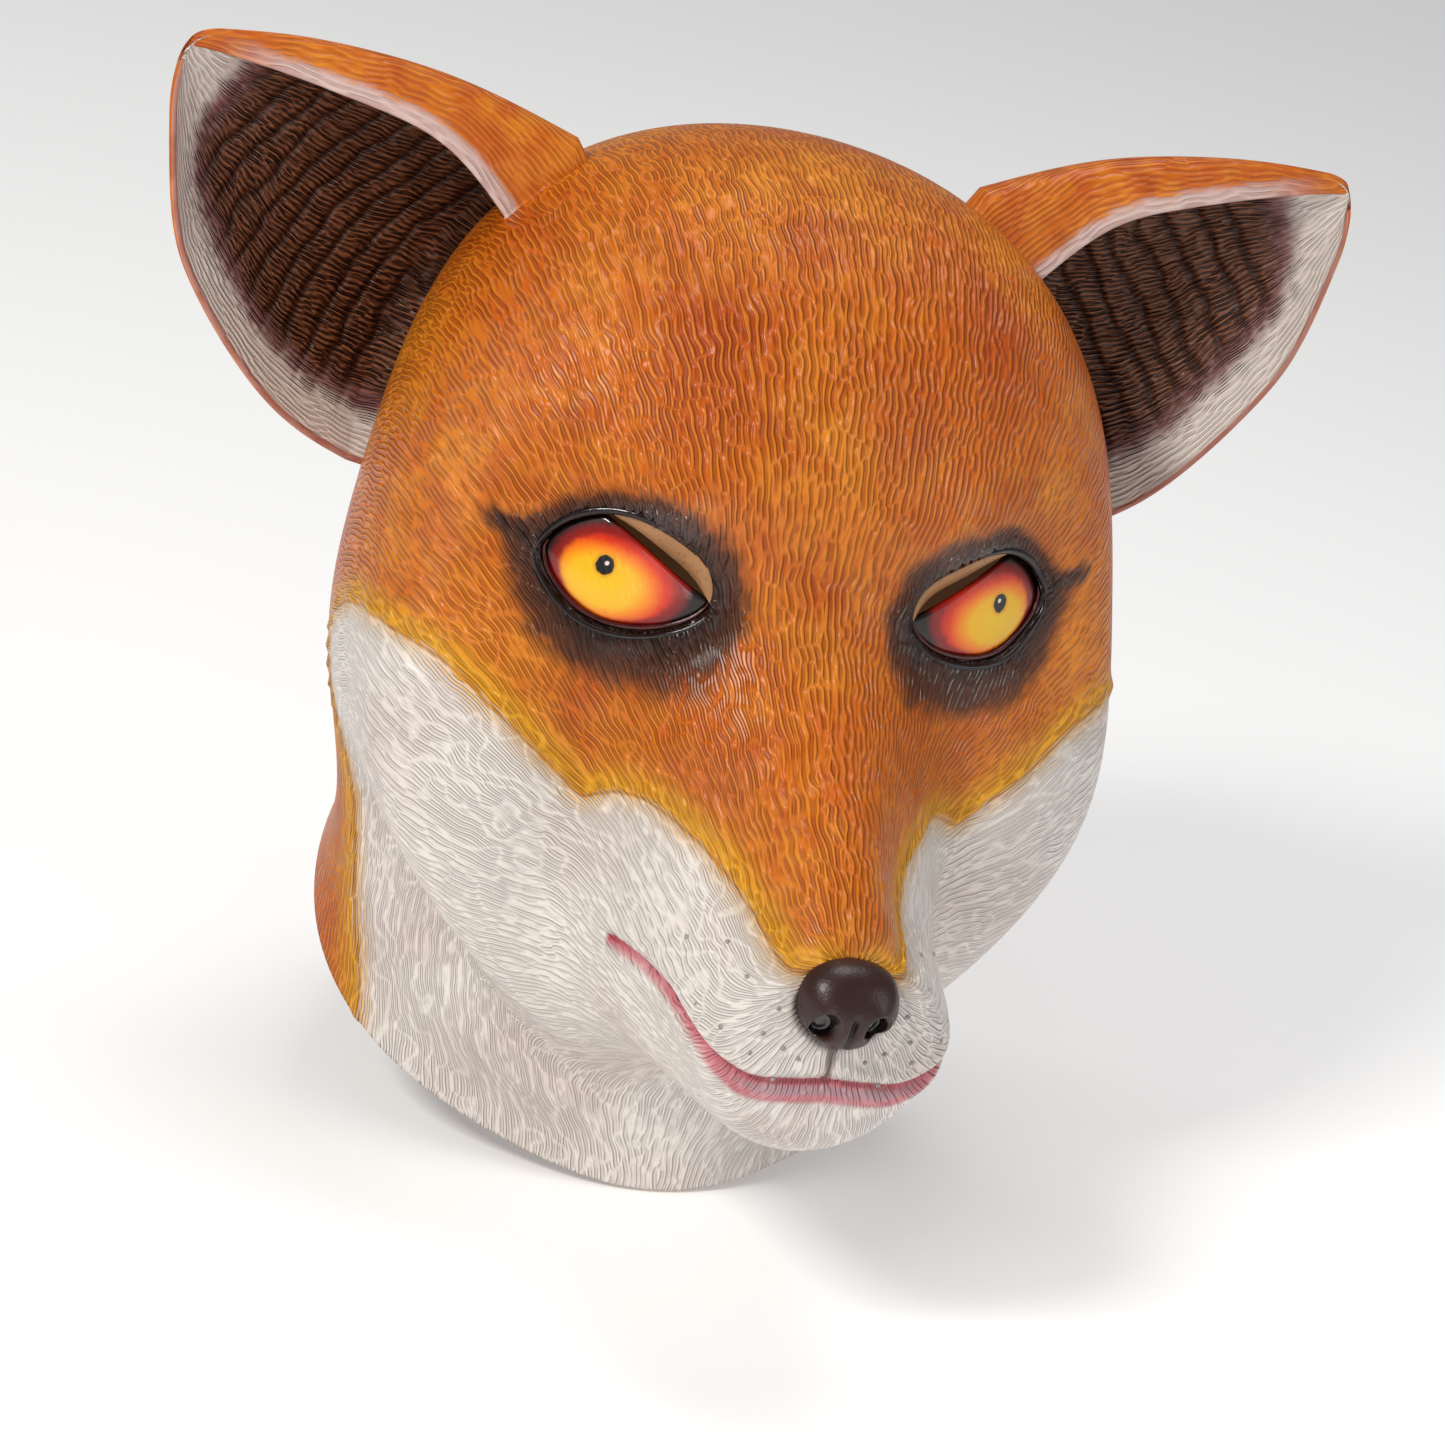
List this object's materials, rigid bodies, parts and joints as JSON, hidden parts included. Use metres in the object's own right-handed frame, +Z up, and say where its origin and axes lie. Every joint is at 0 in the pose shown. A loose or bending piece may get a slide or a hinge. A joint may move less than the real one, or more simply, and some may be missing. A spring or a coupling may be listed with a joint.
{
  "type": "full-head fox mask",
  "caption": "Full-head moulded latex fox mask with upright scooped ears, painted domed eyes over viewing slits, a nose pad and an open neck.",
  "frame": {"origin": "inside of the crown on the middle plane, where the wearer's head carries the mask", "axes": "+Z up, -Y the way the face looks, +X towards the wearer's left ear"},
  "size_m": [0.4268, 0.3348, 0.366],
  "materials": {
    "shell_latex": "carved fur, orange above and off-white below, satin",
    "ear_latex": "orange outside, off-white rim and dark brown inside, satin",
    "eye_paint": "yellow to red paint under gloss varnish",
    "nose_latex": "dark brown satin"
  },
  "bodies": {
    "root": {"muzzle_shell": "shell_latex", "head_shell": "shell_latex", "neck_shell": "shell_latex", "ear_left": "ear_latex", "ear_right": "ear_latex", "eye_left": "eye_paint", "eye_right": "eye_paint", "nose": "nose_latex"}
  },
  "joints": []
}
